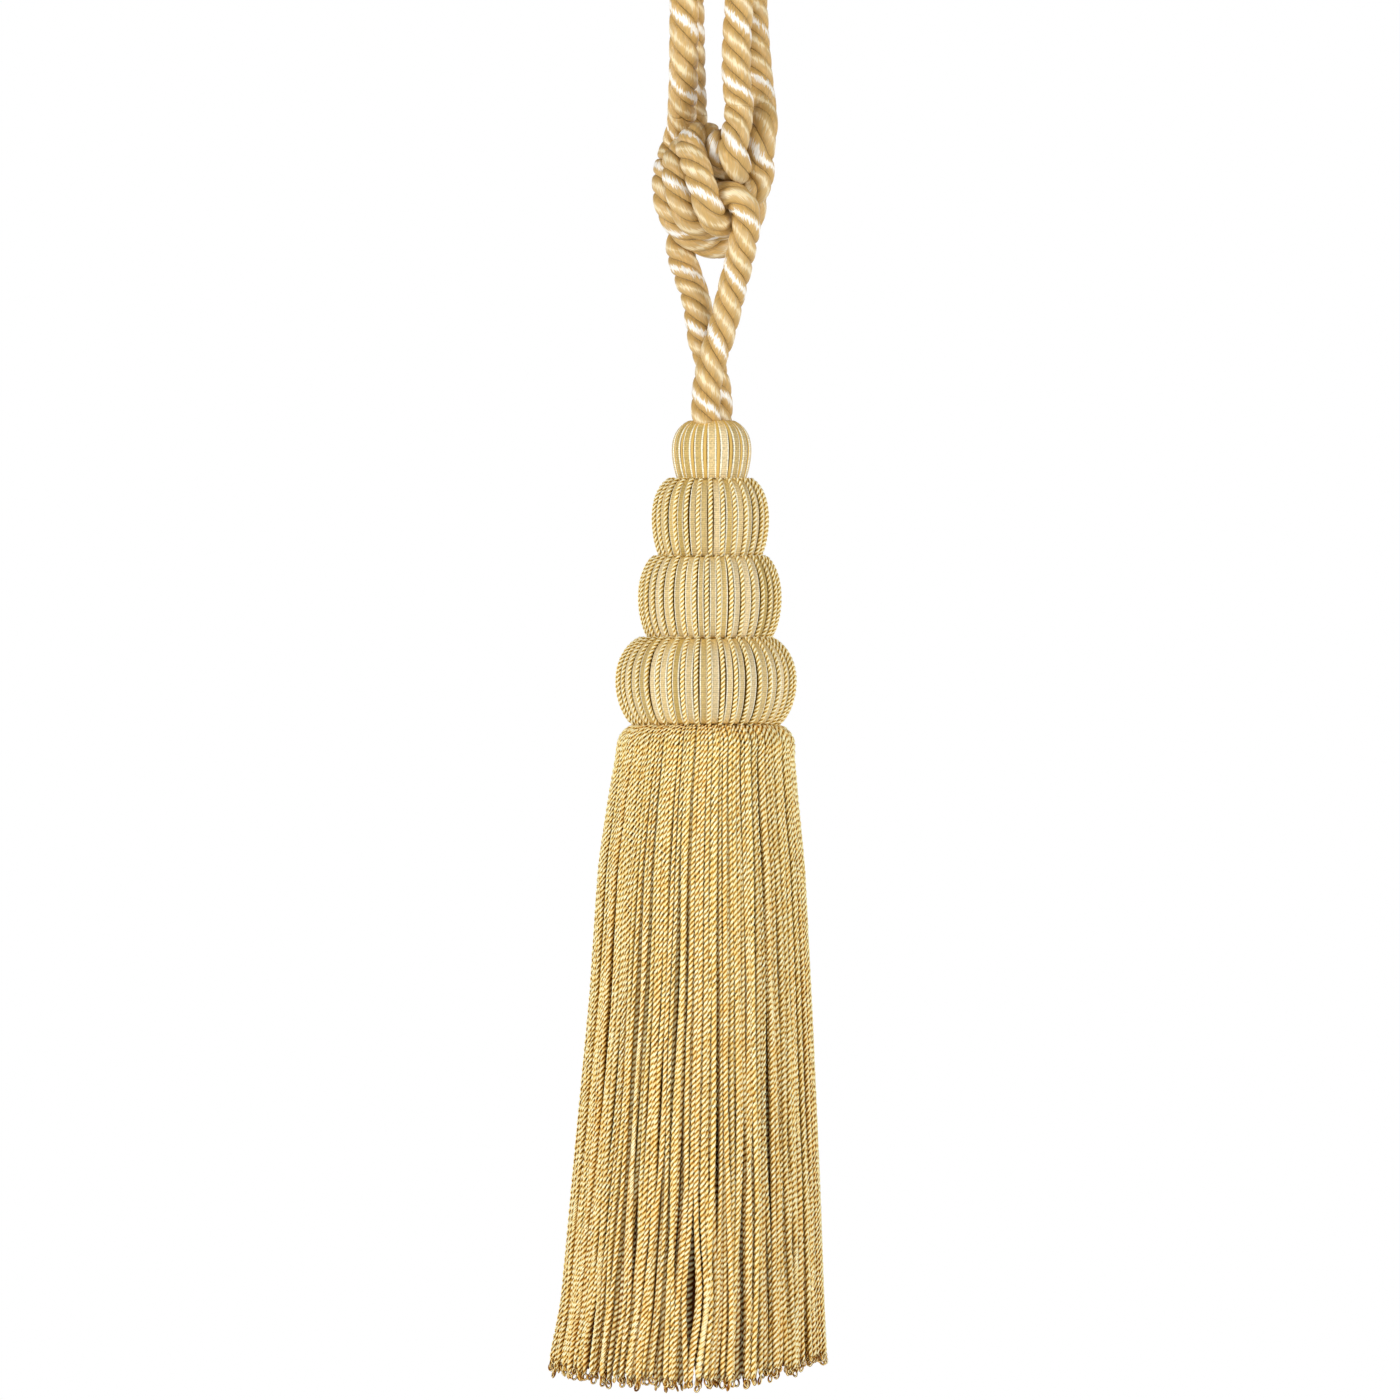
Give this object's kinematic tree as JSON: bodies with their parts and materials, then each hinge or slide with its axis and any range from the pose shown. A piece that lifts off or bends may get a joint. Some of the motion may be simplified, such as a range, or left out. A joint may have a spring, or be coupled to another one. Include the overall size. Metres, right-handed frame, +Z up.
{
  "type": "tassel tieback",
  "caption": "Curtain tieback: a laid rope knotted below a pair of hanging loops, with wound bells and a long skirt of twisted bullion.",
  "frame": {"origin": "the point inside the tops of the two hanging loops where a hook holds them", "axes": "+Z up, the viewer of the picture on the -Y side, +X to the viewer's right; a hook passes through the loops along X"},
  "size_m": [0.0896, 0.0899, 0.4694],
  "materials": {
    "rope": "lustrous viscose rope, golden plies, one of them flecked with white",
    "bell_wraps": "champagne ribbon and golden cord wound over moulds",
    "bullion": "twisted golden and cream bullion strands, satin"
  },
  "bodies": {
    "root": {"leg_right": "rope", "loop_left": "rope", "knot_turns": "rope", "loop_right": "rope", "leg_left": "rope", "bell_1": "bell_wraps", "bell_2": "bell_wraps", "bell_3": "bell_wraps", "bell_4": "bell_wraps", "skirt": "bullion"}
  },
  "joints": []
}
